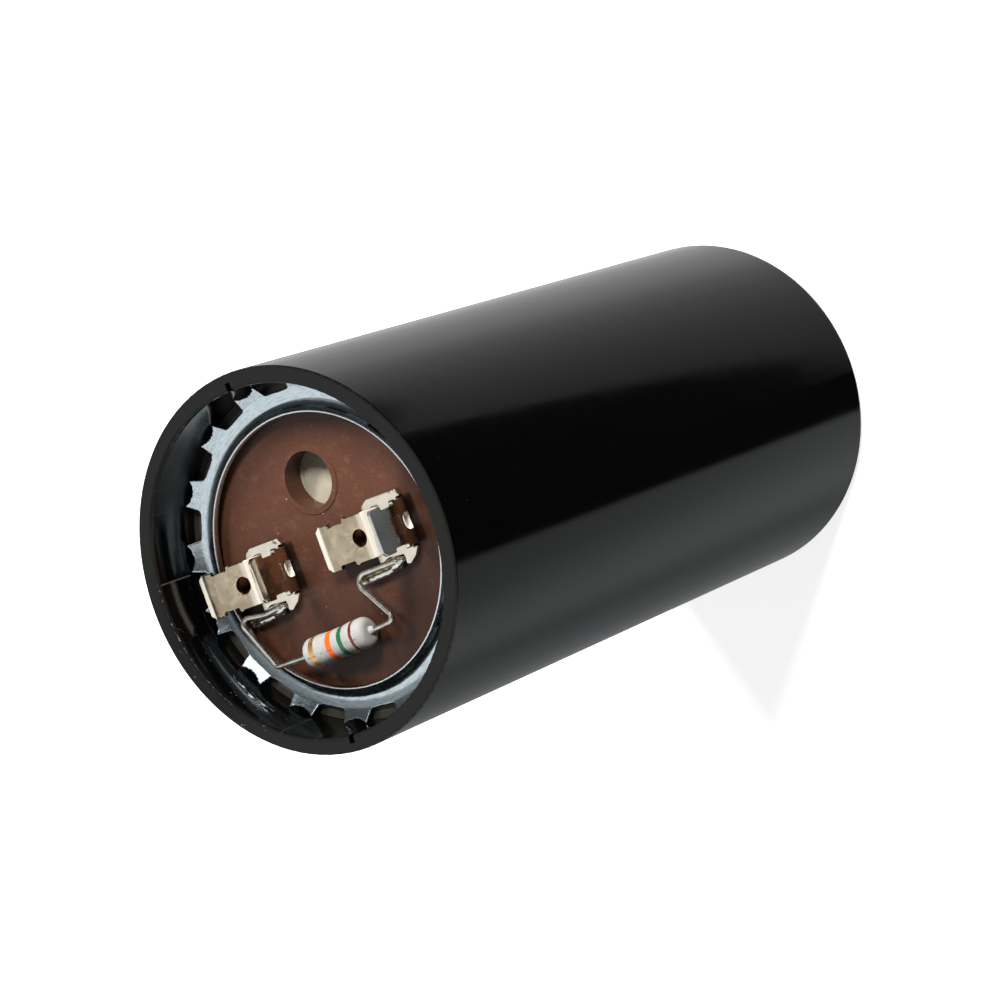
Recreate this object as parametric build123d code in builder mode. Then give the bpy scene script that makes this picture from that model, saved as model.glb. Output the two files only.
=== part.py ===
from build123d import *
import os
from math import asin, cos, radians, sin, sqrt, tan

# Motor start capacitor: a moulded cup closed by a deck, a rubber seal and a toothed ring.
# Millimetres. +Z runs along the axis, from the closed end up to the open end.
# The origin is the centre of the closed end's outer face.

os.makedirs("parts", exist_ok=True)

# Moulded case
case_diameter = 52.4
case_length = 111.1
mouth_wall = 2.35
barrel_wall = 3.3
floor_thickness = 2.6
foot_radius = 1.5
rim_outer_radius = 0.35
rim_inner_radius = 0.5
rim_slot_width = 0.9
rim_slot_reach = 1.2
rim_slot_length = 3.0
rim_slot_angles = (90, 268)

# Deck, vent and seal
deck_depth = 9.0
deck_thickness = 3.3
deck_edge_radius = 0.3
vent_diameter = 7.9
vent_offset = 9.6
vent_collar_width = 0.9
vent_collar_height = 0.12
seal_wall = 1.75
seal_floor = 1.3
seal_dimple_diameter = 7.0
seal_dimple_depth = 0.25
slip_fit = 0.05

# Retaining ring
ring_sheet = 0.55
flange_width = 1.6
lip_curl = 1.36
lip_straight = 0.12
tooth_count = 16
first_tooth_angle = 99.6
tooth_rise_angle = 33.5
tooth_root_width = 4.6
tooth_tip_width = 3.7
tooth_hollow = 0.55

# Terminals: one folded strip each, with an ear on each side of its base
sheet = 0.8
tab_width = 6.3
terminal_pitch = 21.8
pitch_centre = 0.95
rivet_to_face = 2.75
base_length = 7.4
joggle_run = 1.2
joggle_rise = 1.9
joggle_setback = 1.2
side_tab_length = 8.35
rim_to_tab_tip = 0.7
inside_bend = 0.4
upper_ear_reach = 4.5
lower_ear_reach = 4.9
ear_corner = 1.3
ear_relief = 0.3
ear_setback = 0.45
left_plate_y = -0.65
right_plate_y = 0.0
left_tab_tilt = 5.0
right_tab_tilt = 0.0
left_tab_lean = 1.4
right_tab_lean = 3.0

# Pattern of each tab, measured from its tip
tab_corner = 0.6
tab_bevel_length = 0.95
tab_bevel = 0.22
waist_start = 2.3
waist_length = 2.6
waist_cut = 0.5
nib_from_tip = 5.25
nib_radius = 0.35
nib_stand = 0.2
catch_from_tip = 3.9
catch_length = 2.6
catch_width = 2.4
catch_depth = 0.3
catch_back_width = 3.4
catch_back_height = 0.2
tab_hole_diameter = 2.3
tab_hole_from_tip = 6.9

# Rivets, washers and inner straps
rivet_diameter = 2.4
rivet_head_diameter = 3.0
rivet_head_height = 0.6
rivet_head_edge = 0.4
rivet_tail_diameter = 3.8
rivet_tail_height = 0.6
washer_diameter = 7.0
washer_thickness = 0.6
strap_width = 6.0
strap_thickness = 0.3
strap_overhang = 3.2
strap_drop_inset = 4.4

# Winding and what packs it in
pad_thickness = 2.4
headroom = 7.0
roll_clearance = 0.85
mandrel_diameter = 8.0
wrap_thickness = 0.3
disc_thickness = 0.8
slit_clearance = 0.2

# Bleed resistor and its leads
body_diameter = 4.1
body_swell = 0.1
cap_length = 2.9
body_length = 11.2
body_centre = (-2.19, -12.23)
body_turn = 2.8
body_below_rim = 6.3
blunt_end_radius = 0.9
round_end_radius = 1.1
cone_length = 0.7
cone_diameter = 1.3
lead_diameter = 0.8
film = 0.05
hook_y = 4.45
hook_setback = 1.45
hook_spread = 0.85
hook_drop = 0.75
hook_radius = 0.5
hook_slot_width = 2.1
hook_slot_reach = 1.1
right_lead_bends = ((8.09, -11.63, 6.4), (2.25, -4.6, 7.4))
right_lead_radii = (0.7, 1.2)
left_lead_bends = ((-14.09, -12.59, 6.25), (-18.01, -4.81, 6.25), (-13.9, -5.4, 7.5))
left_lead_radii = (0.7, 0.9, 2.0)
right_tail_end = (3.4, -5.8)
left_tail_end = (-17.3, -6.3)
solder_length = 3.0
solder_width = 1.5
solder_height = 0.6
solder_setback = 2.6

# Worked out from the values above
case_radius = case_diameter / 2
mouth_radius = case_radius - mouth_wall
barrel_radius = case_radius - barrel_wall
seal_radius = mouth_radius - slip_fit
deck_radius = seal_radius - seal_wall
deck_top = case_length - deck_depth
deck_bottom = deck_top - deck_thickness
seal_bottom = deck_bottom - seal_floor
flange_top = deck_top + ring_sheet
flange_inner_radius = deck_radius - flange_width
lip_radius = flange_inner_radius - lip_curl
plate_top = deck_top + sheet
tab_tip_z = case_length - rim_to_tab_tip
outside_bend = inside_bend + sheet
vent_radius = vent_diameter / 2
washer_bottom = seal_bottom - washer_thickness
strap_bottom = washer_bottom - strap_thickness
winding_bottom = floor_thickness + pad_thickness
winding_top = strap_bottom - headroom
disc_top = winding_top + disc_thickness
wrap_radius = barrel_radius - roll_clearance
winding_radius = wrap_radius - wrap_thickness - slip_fit
lead_radius = lead_diameter / 2
lead_seat_z = plate_top + film + lead_radius
rivet_hole_radius = rivet_diameter / 2 + slip_fit
left_rivet_x = pitch_centre - terminal_pitch / 2
right_rivet_x = pitch_centre + terminal_pitch / 2
rivet_points = ((left_rivet_x, left_plate_y), (right_rivet_x, right_plate_y))

# Case: a turned profile with two slots in the rim's inner edge
with BuildPart() as case:
    with BuildSketch(Plane.XZ):
        with BuildLine():
            Polyline(
                (0, 0), (case_radius, 0), (case_radius, case_length), (mouth_radius, case_length),
                (mouth_radius, seal_bottom), (barrel_radius, seal_bottom),
                (barrel_radius, floor_thickness), (0, floor_thickness), close=True,
            )
        make_face()
    revolve(axis=Axis.Z)
    fillet(edges().filter_by(GeomType.CIRCLE).group_by(Axis.Z)[0], foot_radius)
    rim_edges = edges().filter_by(GeomType.CIRCLE).group_by(Axis.Z)[-1].sort_by(SortBy.RADIUS)
    fillet(rim_edges[-1], rim_outer_radius)
    rim_edges = edges().filter_by(GeomType.CIRCLE).group_by(Axis.Z)[-1].sort_by(SortBy.RADIUS)
    fillet(rim_edges[0], rim_inner_radius)
    slot_centre = mouth_radius + rim_slot_reach / 2 - slip_fit
    for slot_angle in rim_slot_angles:
        with BuildSketch(Plane.XY.offset(case_length)):
            with PolarLocations(slot_centre, 1, start_angle=slot_angle):
                Rectangle(rim_slot_reach, rim_slot_width)
        extrude(amount=-rim_slot_length, mode=Mode.SUBTRACT)
case.part.label = "case"
export_step(case.part, "parts/case.step")

# Seal: a rubber cup that the deck sits in, standing on the case's inner ledge
with BuildPart() as seal:
    with BuildSketch(Plane.XY.offset(seal_bottom)):
        Circle(seal_radius)
        with Locations(*rivet_points):
            Circle(rivet_hole_radius, mode=Mode.SUBTRACT)
    extrude(amount=seal_floor)
    with BuildSketch(Plane.XY.offset(deck_bottom)):
        Circle(seal_radius)
        Circle(deck_radius + slip_fit, mode=Mode.SUBTRACT)
    extrude(amount=deck_thickness)
    with BuildSketch(Plane.XY.offset(deck_bottom)):
        with Locations((0, vent_offset)):
            Circle(seal_dimple_diameter / 2)
    extrude(amount=-seal_dimple_depth, mode=Mode.SUBTRACT)
seal.part.label = "seal"
export_step(seal.part, "parts/seal.step")

# Deck: a phenolic disc with the vent hole in its low moulded collar
with BuildPart() as deck:
    with BuildSketch(Plane.XY.offset(deck_bottom)):
        Circle(deck_radius)
    extrude(amount=deck_thickness)
    fillet(edges().filter_by(GeomType.CIRCLE).group_by(Axis.Z)[-1], deck_edge_radius)
    with BuildSketch(Plane.XY.offset(deck_top)):
        with Locations((0, vent_offset)):
            Circle(vent_radius + vent_collar_width)
    extrude(amount=vent_collar_height, taper=45)
    with Locations((0, vent_offset, deck_top + vent_collar_height)):
        Hole(vent_radius)
    with Locations(*[(x, y, deck_top) for x, y in rivet_points]):
        Hole(rivet_hole_radius)
deck.part.label = "deck"
export_step(deck.part, "parts/deck.step")

# Retaining ring: lip, flange and rising skirt turned in one profile, then cut into teeth
tooth_pitch = 360 / tooth_count
tooth_tip_radius = mouth_radius - slip_fit
skirt_run = tooth_tip_radius - deck_radius
skirt_rise = skirt_run * tan(radians(tooth_rise_angle))
with BuildPart() as ring:
    with BuildSketch(Plane.XZ):
        with BuildLine():
            curl_centre = (flange_inner_radius, flange_top + lip_curl)
            under_curl = RadiusArc(
                (flange_inner_radius, deck_top), (lip_radius - ring_sheet, curl_centre[1]),
                lip_curl + ring_sheet,
            )
            lip_inside = Line(under_curl @ 1, under_curl @ 1 + (0, lip_straight))
            lip_edge = Line(lip_inside @ 1, lip_inside @ 1 + (ring_sheet, 0))
            lip_outside = Line(lip_edge @ 1, lip_edge @ 1 - (0, lip_straight))
            upper_curl = RadiusArc(lip_outside @ 1, (flange_inner_radius, flange_top), -lip_curl)
            flange = Line(upper_curl @ 1, (deck_radius, flange_top))
            skirt = Line(flange @ 1, flange @ 1 + (skirt_run, skirt_rise))
            skirt_edge = Line(skirt @ 1, skirt @ 1 - (0, ring_sheet))
            skirt_under = Line(skirt_edge @ 1, (deck_radius, deck_top))
            Line(skirt_under @ 1, under_curl @ 0)
        make_face()
    revolve(axis=Axis.Z)
    # each gap widens outwards, so that a tooth narrows to its tip
    gap_root = deck_radius * radians(tooth_pitch) - tooth_root_width
    gap_tip = tooth_tip_radius * radians(tooth_pitch) - tooth_tip_width
    gap_mouth = gap_root + (gap_tip - gap_root) * 2
    with BuildSketch(Plane.XY.offset(deck_top - ring_sheet)):
        with PolarLocations(deck_radius, tooth_count, first_tooth_angle + tooth_pitch / 2):
            Polygon(
                (0, -gap_root / 2), (2 * skirt_run, -gap_mouth / 2),
                (2 * skirt_run, gap_mouth / 2), (0, gap_root / 2), align=None,
            )
    extrude(amount=skirt_rise + 3 * ring_sheet, mode=Mode.SUBTRACT)
    # the end of each tooth is hollowed to two points that bite the wall
    hollow_radius = ((tooth_tip_width / 2) ** 2 + tooth_hollow**2) / (2 * tooth_hollow)
    hollow_centre = tooth_tip_radius * cos(asin(tooth_tip_width / 2 / tooth_tip_radius))
    hollow_centre += hollow_radius - tooth_hollow
    with BuildSketch(Plane.XY.offset(deck_top - ring_sheet)):
        with PolarLocations(hollow_centre, tooth_count, first_tooth_angle):
            Circle(hollow_radius)
    extrude(amount=skirt_rise + 3 * ring_sheet, mode=Mode.SUBTRACT)
ring.part.label = "retaining_ring"
export_step(ring.part, "parts/retaining_ring.step")


def press_tab(tip):
    """Give the active terminal's tab its pattern; tip is the plane on its outer face, X inwards."""
    across = Plane(tip.origin, x_dir=tip.x_dir, z_dir=tip.x_dir.cross(tip.z_dir))
    with BuildSketch(across) as bevels:
        Polygon((0, 0), (tab_bevel_length, 0), (0, -tab_bevel), align=None)
        Polygon((0, -sheet), (tab_bevel_length, -sheet), (0, tab_bevel - sheet), align=None)
    extrude(bevels.sketch, amount=tab_width, both=True, mode=Mode.SUBTRACT)
    # the pressed catch is a wedge, deepest towards the hole
    catch_start = catch_from_tip - catch_length / 2
    catch_end = catch_from_tip + catch_length / 2
    with BuildSketch(across) as catch:
        Polygon((catch_start, 0), (catch_end, 0), (catch_end, -catch_depth), align=None)
    extrude(catch.sketch, amount=catch_width / 2, both=True, mode=Mode.SUBTRACT)
    corner_side = tab_corner * sqrt(2)
    with BuildSketch(tip) as cuts:
        with Locations((waist_start + waist_length / 2, tab_width / 2),
                       (waist_start + waist_length / 2, -tab_width / 2)):
            RectangleRounded(waist_length, 2 * waist_cut, waist_cut / 2)
        with Locations((0, tab_width / 2), (0, -tab_width / 2)):
            Rectangle(corner_side, corner_side, rotation=45)
        with Locations((tab_hole_from_tip, 0)):
            Circle(tab_hole_diameter / 2)
    extrude(cuts.sketch, amount=sheet, both=True, mode=Mode.SUBTRACT)
    with BuildSketch(tip) as nibs:
        for edge in (-1, 1):
            with Locations((nib_from_tip, edge * (tab_width / 2 + nib_stand - nib_radius))):
                Circle(nib_radius)
    extrude(nibs.sketch, amount=-sheet)
    with BuildSketch(tip.offset(-sheet)) as bump:
        with Locations((catch_from_tip, 0)):
            RectangleRounded(catch_length, catch_back_width, catch_length * 0.45)
    extrude(bump.sketch, amount=-catch_back_height, taper=60)


def fold_terminal(rivet_x, plate_y, side_tilt, upright_lean):
    """One terminal: side tab, joggle, base and upright tab in one strip, and two ears."""
    face_x = rivet_x + rivet_to_face
    near_x = face_x - base_length
    ear_end_x = face_x - ear_setback
    foot_x = near_x + joggle_run + joggle_setback
    step_x = foot_x - joggle_run
    step_z = deck_top + joggle_rise
    tilt = radians(side_tilt)
    tip_x = step_x - side_tab_length * cos(tilt)
    tip_z = step_z + side_tab_length * sin(tilt)
    lean = radians(upright_lean)
    bend_z = deck_top + outside_bend
    lean_shift = (tab_tip_z - bend_z) * tan(lean)
    half_tab = tab_width / 2
    slot_y = half_tab + ear_relief
    with BuildPart() as terminal:
        with BuildSketch(Plane.XZ.offset(-plate_y)):
            with BuildLine():
                FilletPolyline(
                    (tip_x, tip_z), (step_x, step_z), (foot_x, deck_top), (face_x, deck_top),
                    (face_x, bend_z + inside_bend),
                    radius=(inside_bend, outside_bend, outside_bend),
                )
                offset(amount=sheet, side=Side.LEFT)
            make_face()
        extrude(amount=half_tab, both=True)
        # the upright tab leans a little in its own plane
        with BuildSketch(Plane.YZ.offset(face_x)):
            Polygon(
                (plate_y - half_tab, bend_z), (plate_y + half_tab, bend_z),
                (plate_y + half_tab - lean_shift, tab_tip_z),
                (plate_y - half_tab - lean_shift, tab_tip_z), align=None,
            )
        extrude(amount=-sheet)
        with BuildSketch(Plane.XY.offset(deck_top)):
            Polygon(
                (near_x, plate_y - lower_ear_reach + ear_corner / 2),
                (ear_end_x - 1.6 * ear_corner, plate_y - lower_ear_reach),
                (ear_end_x - 0.6 * ear_corner, plate_y - lower_ear_reach + ear_corner / 2),
                (ear_end_x, plate_y - slot_y),
                (face_x - outside_bend, plate_y - slot_y),
                (face_x - outside_bend, plate_y + slot_y),
                (ear_end_x, plate_y + slot_y),
                (ear_end_x - 0.4 * ear_corner, plate_y + upper_ear_reach),
                (near_x + ear_corner, plate_y + upper_ear_reach),
                (near_x + 0.2 * ear_corner, plate_y + upper_ear_reach - ear_corner / 2),
                (near_x, plate_y + half_tab), align=None,
            )
            with Locations((rivet_x - hook_setback, plate_y - lower_ear_reach)):
                Rectangle(hook_slot_width, 2 * hook_slot_reach, mode=Mode.SUBTRACT)
        extrude(amount=sheet)
        with Locations((rivet_x, plate_y, plate_top)):
            Hole(rivet_hole_radius)
        press_tab(Plane((face_x, plate_y - lean_shift, tab_tip_z),
                        x_dir=(0, sin(lean), -cos(lean)), z_dir=(1, 0, 0)))
        press_tab(Plane((tip_x, plate_y, tip_z), x_dir=(cos(tilt), 0, -sin(tilt)),
                        z_dir=(-sin(tilt), 0, -cos(tilt))))
    return terminal


left_terminal = fold_terminal(left_rivet_x, left_plate_y, left_tab_tilt, left_tab_lean)
left_terminal.part.label = "left_terminal"
export_step(left_terminal.part, "parts/left_terminal.step")

right_terminal = fold_terminal(right_rivet_x, right_plate_y, right_tab_tilt, right_tab_lean)
right_terminal.part.label = "right_terminal"
export_step(right_terminal.part, "parts/right_terminal.step")

# Rivet, washer and inner strap under each terminal
for side, (rivet_x, rivet_y) in zip(("left", "right"), rivet_points):
    with BuildPart() as rivet:
        with BuildSketch(Plane.XY.offset(strap_bottom)):
            with Locations((rivet_x, rivet_y)):
                Circle(rivet_diameter / 2)
        extrude(amount=plate_top - strap_bottom)
        with BuildSketch(Plane.XY.offset(strap_bottom)):
            with Locations((rivet_x, rivet_y)):
                Circle(rivet_tail_diameter / 2)
        extrude(amount=-rivet_tail_height)
        with BuildSketch(Plane.XY.offset(plate_top)):
            with Locations((rivet_x, rivet_y)):
                Circle(rivet_head_diameter / 2)
        extrude(amount=rivet_head_height)
        fillet(edges().filter_by(GeomType.CIRCLE).group_by(Axis.Z)[-1], rivet_head_edge)
    rivet.part.label = f"{side}_rivet"
    export_step(rivet.part, f"parts/{side}_rivet.step")

    with BuildPart() as washer:
        with BuildSketch(Plane.XY.offset(washer_bottom)):
            with Locations((rivet_x, rivet_y)):
                Circle(washer_diameter / 2)
                Circle(rivet_hole_radius, mode=Mode.SUBTRACT)
        extrude(amount=washer_thickness)
    washer.part.label = f"{side}_washer"
    export_step(washer.part, f"parts/{side}_washer.step")

    # the strap runs from under the rivet towards the axis, then down to the roll's top
    inward = -1 if rivet_x > 0 else 1
    with BuildPart() as strap:
        with BuildSketch(Plane.XZ.offset(-rivet_y)):
            with BuildLine():
                outline = FilletPolyline(
                    (rivet_x - inward * strap_overhang, washer_bottom),
                    (rivet_x + inward * strap_drop_inset, washer_bottom),
                    (rivet_x + inward * strap_drop_inset, winding_top),
                    radius=2 * strap_thickness,
                )
                offset(amount=strap_thickness, side=Side.RIGHT if inward > 0 else Side.LEFT)
            make_face()
        extrude(amount=strap_width / 2, both=True)
        with Locations((rivet_x, rivet_y, washer_bottom)):
            Hole(rivet_hole_radius, depth=2 * strap_thickness)
    strap.part.label = f"{side}_strap"
    export_step(strap.part, f"parts/{side}_strap.step")

# Winding: one roll with its mandrel hole
with BuildPart() as winding:
    with BuildSketch(Plane.XY.offset(winding_bottom)):
        Circle(winding_radius)
        Circle(mandrel_diameter / 2, mode=Mode.SUBTRACT)
    extrude(amount=winding_top - winding_bottom)
winding.part.label = "winding"
export_step(winding.part, "parts/winding.step")

# Paper sleeve round the roll
with BuildPart() as wrap:
    with BuildSketch(Plane.XY.offset(winding_bottom)):
        Circle(wrap_radius)
        Circle(winding_radius + slip_fit, mode=Mode.SUBTRACT)
    extrude(amount=winding_top - winding_bottom)
wrap.part.label = "winding_wrap"
export_step(wrap.part, "parts/winding_wrap.step")

# Insulating disc on the roll, slit for the two straps
with BuildPart() as disc:
    with BuildSketch(Plane.XY.offset(winding_top)):
        Circle(barrel_radius - slip_fit)
        for rivet_x, rivet_y in rivet_points:
            inward = -1 if rivet_x > 0 else 1
            with Locations((rivet_x + inward * (strap_drop_inset - strap_thickness / 2), rivet_y)):
                Rectangle(strap_thickness + 2 * slit_clearance, strap_width + 2 * slit_clearance,
                          mode=Mode.SUBTRACT)
    extrude(amount=disc_thickness)
disc.part.label = "insulating_disc"
export_step(disc.part, "parts/insulating_disc.step")

# Pad between the roll and the floor of the case
with BuildPart() as pad:
    with BuildSketch(Plane.XY.offset(floor_thickness)):
        Circle(winding_radius)
    extrude(amount=pad_thickness)
pad.part.label = "bottom_pad"
export_step(pad.part, "parts/bottom_pad.step")

# Bleed resistor: a coated body turned about its own axis, with a small cone at one end
body_z = case_length - body_below_rim
turn = radians(body_turn)
body_axis = (cos(turn), sin(turn), 0)
body_plane = Plane((*body_centre, body_z), x_dir=body_axis, z_dir=(sin(turn), -cos(turn), 0))
half = body_length / 2
cap_radius = body_diameter / 2 + body_swell
with BuildPart() as body:
    with BuildSketch(body_plane):
        with BuildLine():
            Polyline(
                (-half, 0), (-half, cap_radius), (-half + cap_length, cap_radius),
                (-half + 1.4 * cap_length, body_diameter / 2),
                (half - 1.4 * cap_length, body_diameter / 2), (half - cap_length, cap_radius),
                (half, cap_radius), (half, cone_diameter / 2), (half + cone_length, lead_radius),
                (half + cone_length, 0), close=True,
            )
        make_face()
    revolve(axis=Axis(body_plane.origin, body_axis))
    cap_edges = edges().filter_by(GeomType.CIRCLE).group_by(SortBy.RADIUS)[-1].sort_by(Axis.X)
    fillet(cap_edges[0], blunt_end_radius)
    cap_edges = edges().filter_by(GeomType.CIRCLE).group_by(SortBy.RADIUS)[-1].sort_by(Axis.X)
    fillet(cap_edges[-1], round_end_radius)
body.part.label = "resistor_body"
export_step(body.part, "parts/resistor_body.step")


def bend_lead(start, bends, radii, rivet_x, plate_y, tail_end):
    """One tinned lead: from the body along its bends, then hooked round a terminal's ear."""
    tail_z = lead_seat_z - hook_drop
    hook_x = rivet_x - hook_setback
    points = [start]
    points += [(x, y, case_length - below) for x, y, below in bends]
    points += [(hook_x, plate_y - hook_y, lead_seat_z)]
    points += [(hook_x, plate_y - hook_y - hook_spread, tail_z), (*tail_end, tail_z)]
    with BuildPart() as lead:
        with BuildLine() as route:
            FilletPolyline(*points, radius=(*radii, hook_radius, hook_radius))
        with BuildSketch(Plane(route.line @ 0, z_dir=route.line % 0)):
            Circle(lead_radius)
        sweep()
    return lead


right_start = body_plane.from_local_coords(Vector(half + cone_length + slip_fit, 0, 0))
right_lead = bend_lead(
    right_start, right_lead_bends, right_lead_radii, right_rivet_x, right_plate_y, right_tail_end
)
right_lead.part.label = "resistor_right_lead"
export_step(right_lead.part, "parts/resistor_right_lead.step")

left_start = body_plane.from_local_coords(Vector(-half - slip_fit, 0, 0))
left_lead = bend_lead(
    left_start, left_lead_bends, left_lead_radii, left_rivet_x, left_plate_y, left_tail_end
)
left_lead.part.label = "resistor_left_lead"
export_step(left_lead.part, "parts/resistor_left_lead.step")

# Solder: a low mound on each lower ear, round the lead that it holds
for side, (rivet_x, plate_y), lead in zip(
    ("left", "right"), rivet_points, (left_lead, right_lead)
):
    with BuildPart() as solder:
        with BuildSketch(Plane.XY.offset(plate_top)):
            with Locations((rivet_x - solder_setback, plate_y - hook_y)):
                Ellipse(solder_length / 2, solder_width / 2)
        extrude(amount=solder_height, taper=25)
        add(lead.part, mode=Mode.SUBTRACT)
    solder.part.label = f"{side}_solder"
    export_step(solder.part, f"parts/{side}_solder.step")
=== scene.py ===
"""Looks of a motor start capacitor: its finishes, its softened metalwork, its light and its camera."""
import math

import bmesh
import bpy
from bpy.props import FloatProperty, FloatVectorProperty, PointerProperty
from mathutils import Matrix, Vector, noise as lumps


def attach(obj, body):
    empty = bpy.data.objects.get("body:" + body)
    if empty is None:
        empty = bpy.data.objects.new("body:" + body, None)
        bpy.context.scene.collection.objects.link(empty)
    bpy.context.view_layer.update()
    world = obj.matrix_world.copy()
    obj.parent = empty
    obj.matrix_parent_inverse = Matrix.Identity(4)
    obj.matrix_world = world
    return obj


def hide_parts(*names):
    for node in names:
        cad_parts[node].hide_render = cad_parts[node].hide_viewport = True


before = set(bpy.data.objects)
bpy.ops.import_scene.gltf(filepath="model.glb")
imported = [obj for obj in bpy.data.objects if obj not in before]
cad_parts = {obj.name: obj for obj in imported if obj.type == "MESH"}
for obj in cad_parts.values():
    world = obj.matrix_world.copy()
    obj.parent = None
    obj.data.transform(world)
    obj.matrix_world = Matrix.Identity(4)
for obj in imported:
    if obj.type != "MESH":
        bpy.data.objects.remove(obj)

bl_info = {
    "name": "Motor start capacitor",
    "version": (1, 0, 0),
    "blender": (4, 5, 0),
    "location": "View3D > Sidebar > Capacitor",
    "description": "Finishes and fine pieces for a capacitor with an open well and a bleed resistor",
    "category": "Object",
}

MM = 0.001
# Directions in the row frame: what is overhead and to the side when the can lies on its barrel
OVERHEAD = Vector((0.4127, 0.9109, 0.0))
SIDEWAYS = Vector((0.9109, -0.4127, 0.0))
ALONG = Vector((0.0, 0.0, 1.0))

# Sizes and places in millimetres. The case: its length, and the radius of the well at the mouth
CASE_LENGTH, MOUTH_RADIUS = 111.1, 23.85
# The ring: where its flange starts to curve and how far it does, and the middle of its lip
FLANGE_START, FLANGE_RUN, LIP_MIDDLE = 20.3, 1.75, 18.95
# Each terminal: its upright's face, its centre line, and the rise of its side tab per millimetre
STRIPS = {"left": (-7.2, -0.65, math.tan(math.radians(5.0))), "right": (14.6, 0.0, 0.0)}
# Heights of the terminals' base and side tabs, and of the hole in an upright
PLATE_TOP, SIDE_TAB_TOP, UPRIGHT_HOLE = 102.9, 104.8, 103.5
# How far along x from an upright's face: the side tab's hole, its press mark and where it starts
SIDE_HOLE, PRESS_MARK, SIDE_TAB_START = -7.65, -10.65, -6.2
# From a terminal's centre line: where its ears start
EAR_START = 3.4
# The resistor: the middle of its body, and how far it is turned, in degrees
BODY_CENTRE, BODY_TURN = Vector((-2.19, -12.23, 0.0)), 2.8
# Heights of the solder along a tail and over a hook, and of the dried flux
TAIL_SOLDER, HOOK_SOLDER, DRIED_FLUX = 102.72, 102.95, 103.22


def add_node(tree, kind, inputs=None, **settings):
    """A new node; an input that is given a socket is linked, and any other value is set on it."""
    made = tree.nodes.new(kind)
    for name, value in settings.items():
        setattr(made, name, value)
    for name, value in (inputs or {}).items():
        if isinstance(value, bpy.types.NodeSocket):
            tree.links.new(value, made.inputs[name])
        else:
            made.inputs[name].default_value = value
    return made


def maths(tree, operation, *values, clamp=False):
    """The output of a Math node on one to three sockets or numbers."""
    inputs = dict(enumerate(values))
    return add_node(tree, "ShaderNodeMath", inputs, operation=operation, use_clamp=clamp).outputs[0]


def times(tree, *values, clamp=False):
    """The product of sockets and numbers."""
    product = values[0]
    for value in values[1:]:
        product = maths(tree, "MULTIPLY", product, value, clamp=clamp)
    return product


def plus(tree, first, second, clamp=False):
    """The sum of two values."""
    return maths(tree, "ADD", first, second, clamp=clamp)


def minus(tree, first, second):
    """The first value less the second."""
    return maths(tree, "SUBTRACT", first, second)


def larger(tree, first, second):
    """The larger of two values."""
    return maths(tree, "MAXIMUM", first, second)


def gap(tree, value, centre):
    """How far a value is from a centre, on either side."""
    return maths(tree, "ABSOLUTE", minus(tree, value, centre))


def ramp(tree, value, low, high, to_low=0.0, to_high=1.0):
    """Maps value smoothly from low..high to to_low..to_high, and holds it there beyond them."""
    inputs = {"Value": value, "From Min": low, "From Max": high, "To Min": to_low, "To Max": to_high}
    made = add_node(tree, "ShaderNodeMapRange", inputs, interpolation_type="SMOOTHSTEP")
    return made.outputs["Result"]


def stretch_of(tree, value, start, full, fade, end):
    """1 from full to fade, and 0 before start and after end."""
    return times(tree, ramp(tree, value, start, full), ramp(tree, value, end, fade))


def blend(tree, mask, first, second, kind="MIX"):
    """Mixes two colours by a mask."""
    made = add_node(tree, "ShaderNodeMix", data_type="RGBA", blend_type=kind)
    for socket, value in zip((made.inputs[0], made.inputs[6], made.inputs[7]), (mask, first, second)):
        if isinstance(value, bpy.types.NodeSocket):
            tree.links.new(value, socket)
        elif isinstance(value, (int, float)):
            socket.default_value = value
        else:
            socket.default_value = (*value[:3], 1.0)
    return made.outputs[2]


def shaded(tree, colour, tone):
    """A colour times a tone."""
    return blend(tree, 1.0, colour, tone, "MULTIPLY")


def parts(tree, vector):
    """The three parts of a vector."""
    return add_node(tree, "ShaderNodeSeparateXYZ", {0: vector}).outputs


def joined(tree, x, y):
    """A flat vector from two parts."""
    return add_node(tree, "ShaderNodeCombineXYZ", {0: x, 1: y}).outputs[0]


def length(tree, x, y):
    """The length of a flat vector."""
    inputs = {0: joined(tree, x, y)}
    return add_node(tree, "ShaderNodeVectorMath", inputs, operation="LENGTH").outputs["Value"]


def dot(tree, vector, direction):
    """How far a place lies along a direction."""
    inputs = {0: vector, 1: direction}
    return add_node(tree, "ShaderNodeVectorMath", inputs, operation="DOT_PRODUCT").outputs["Value"]


def noise(tree, vector, scale, detail, roughness=0.5):
    """The value of a noise texture; scale counts features per millimetre."""
    inputs = {"Vector": vector, "Scale": scale, "Detail": detail, "Roughness": roughness}
    return add_node(tree, "ShaderNodeTexNoise", inputs).outputs[0]


def millimetres(tree):
    """Object coordinates in millimetres."""
    place = add_node(tree, "ShaderNodeTexCoord").outputs["Object"]
    inputs = {0: place, "Scale": 1000.0}
    return add_node(tree, "ShaderNodeVectorMath", inputs, operation="SCALE").outputs[0]


def stretched(tree, vector, scale, turn=(0.0, 0.0, 0.0)):
    """The vector turned and stretched, for streaks and scratches."""
    inputs = {"Vector": vector, "Rotation": turn, "Scale": scale}
    return add_node(tree, "ShaderNodeMapping", inputs).outputs[0]


def bump(tree, height, distance, strength):
    """A normal from a height; distance is in metres."""
    inputs = {"Height": height, "Distance": distance, "Strength": strength}
    return add_node(tree, "ShaderNodeBump", inputs).outputs[0]


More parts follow.
